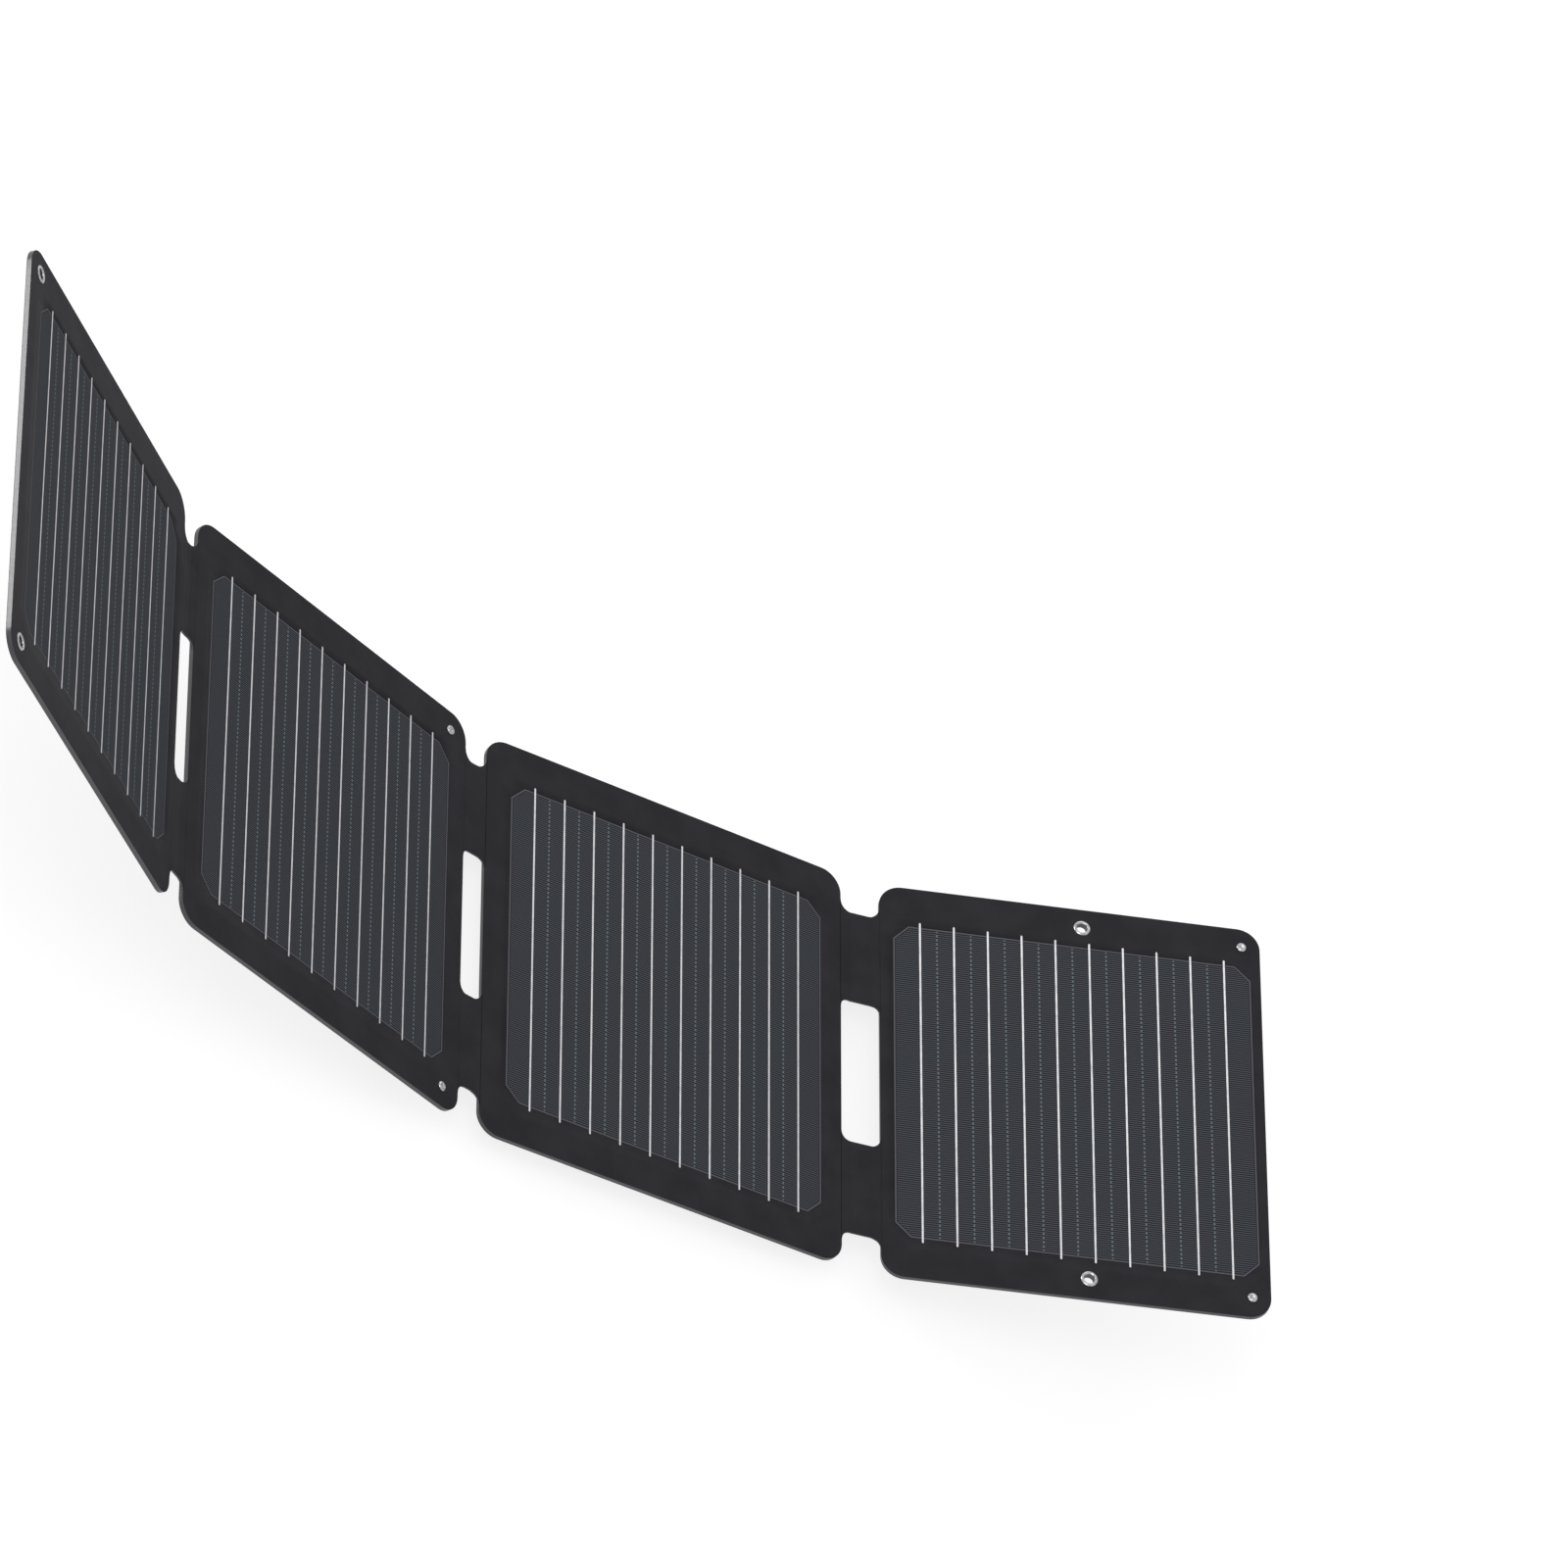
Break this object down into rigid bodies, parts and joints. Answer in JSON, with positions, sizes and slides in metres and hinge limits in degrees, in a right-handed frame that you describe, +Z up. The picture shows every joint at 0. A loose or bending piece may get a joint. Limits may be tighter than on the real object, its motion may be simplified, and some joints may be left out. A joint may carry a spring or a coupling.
{
  "type": "folding solar charger",
  "caption": "Folding fabric solar phone charger: cell panels on cloth hinges, open in a shallow arc, with a power box, USB sockets and cable pocket on the back.",
  "frame": {"origin": "bottom centre of the bounding box in the opened rest pose", "axes": "+X along the strip of panels, +Y along the hinge creases, +Z up, the way the cells of the level panel face"},
  "size_m": [0.683, 0.1962, 0.1933],
  "materials": {
    "woven_cloth": "coarse anthracite weave, matt",
    "front_film": "black laminated film, matt",
    "board": "grey-beige glass fibre board",
    "cell": "dark blue-grey silicon under clear film, fine grid fingers",
    "bright_wire": "tinned collector wire",
    "tape": "tinned bus tape",
    "ribbon": "copper ribbon",
    "eyelet_metal": "nickel-plated, polished",
    "disc_steel": "plain steel disc",
    "box_black": "black moulded plastic, fine texture",
    "cover_orange": "orange moulded plastic, soft satin",
    "window_dark": "smoked window, gloss",
    "display_red": "red display module",
    "circuit_green": "green circuit board",
    "chip_black": "black component bodies",
    "socket_steel": "nickel-plated socket shell",
    "tongue_black": "black socket insulator",
    "lead_black": "black insulated lead"
  },
  "bodies": {
    "panel_1": {"panel_1_back_cloth": "woven_cloth", "panel_1_board": "board", "panel_1_bus_tapes": "tape", "panel_1_cell": "cell", "panel_1_eyelet_washers": "eyelet_metal", "panel_1_eyelets": "eyelet_metal", "panel_1_front_film": "front_film", "panel_1_wires": "bright_wire"},
    "panel_2": {"panel_2_back_cloth": "woven_cloth", "panel_2_board": "board", "panel_2_bus_tapes": "tape", "panel_2_catch_discs": "disc_steel", "panel_2_cell": "cell", "panel_2_front_film": "front_film", "panel_2_studs": "eyelet_metal", "panel_2_wires": "bright_wire"},
    "hub_panel": {"panel_3_back_cloth": "woven_cloth", "panel_3_board": "board", "panel_3_bus_tapes": "tape", "panel_3_cell": "cell", "panel_3_front_film": "front_film", "panel_3_wires": "bright_wire", "pocket_pouch": "woven_cloth", "power_box_base": "box_black", "power_box_chips": "chip_black", "power_box_circuit_board": "circuit_green", "power_box_cover": "cover_orange", "power_box_display": "display_red", "power_box_lead": "lead_black", "power_box_screws": "disc_steel", "power_box_shell": "box_black", "power_box_window": "window_dark", "usb_a_shell": "socket_steel", "usb_a_tongue": "tongue_black", "usb_c_shell": "socket_steel", "usb_c_tongue": "tongue_black"},
    "panel_4": {"panel_4_back_cloth": "woven_cloth", "panel_4_board": "board", "panel_4_bus_tapes": "tape", "panel_4_cell": "cell", "panel_4_eyelet_washers": "eyelet_metal", "panel_4_eyelets": "eyelet_metal", "panel_4_front_film": "front_film", "panel_4_studs": "eyelet_metal", "panel_4_wires": "bright_wire"},
    "spine_1": {"spine_1_cloth": "woven_cloth", "spine_1_front_film": "front_film", "spine_1_ribbon": "ribbon"},
    "spine_2": {"spine_2_cloth": "woven_cloth", "spine_2_front_film": "front_film", "spine_2_ribbon": "ribbon"},
    "spine_3": {"spine_3_cloth": "woven_cloth", "spine_3_front_film": "front_film", "spine_3_ribbon": "ribbon"}
  },
  "joints": [
    {"name": "fold_2_inner", "type": "hinge", "parent": "hub_panel", "child": "spine_2", "pos_m": [-0.01494, 0, 0.0148], "axis": [0, 1, 0], "range_deg": [-9.8, 80.2]},
    {"name": "fold_2_outer", "type": "hinge", "parent": "spine_2", "child": "panel_2", "pos_m": [-0.02095, 0, 0.01584], "axis": [0, 1, 0], "range_deg": [-9.8, 80.2]},
    {"name": "fold_1_inner", "type": "hinge", "parent": "panel_2", "child": "spine_1", "pos_m": [-0.19589, 0, 0.07813], "axis": [0, 1, 0], "range_deg": [-9.5, 80.5]},
    {"name": "fold_1_outer", "type": "hinge", "parent": "spine_1", "child": "panel_1", "pos_m": [-0.19834, 0, 0.07949], "axis": [0, 1, 0], "range_deg": [-9.5, 80.5]},
    {"name": "fold_3_inner", "type": "hinge", "parent": "hub_panel", "child": "spine_3", "pos_m": [0.17296, 0, 0.0148], "axis": [0, -1, 0], "range_deg": [-11.2, 78.8]},
    {"name": "fold_3_outer", "type": "hinge", "parent": "spine_3", "child": "panel_4", "pos_m": [0.18287, 0, 0.01676], "axis": [0, -1, 0], "range_deg": [-11.2, 78.8]}
  ]
}
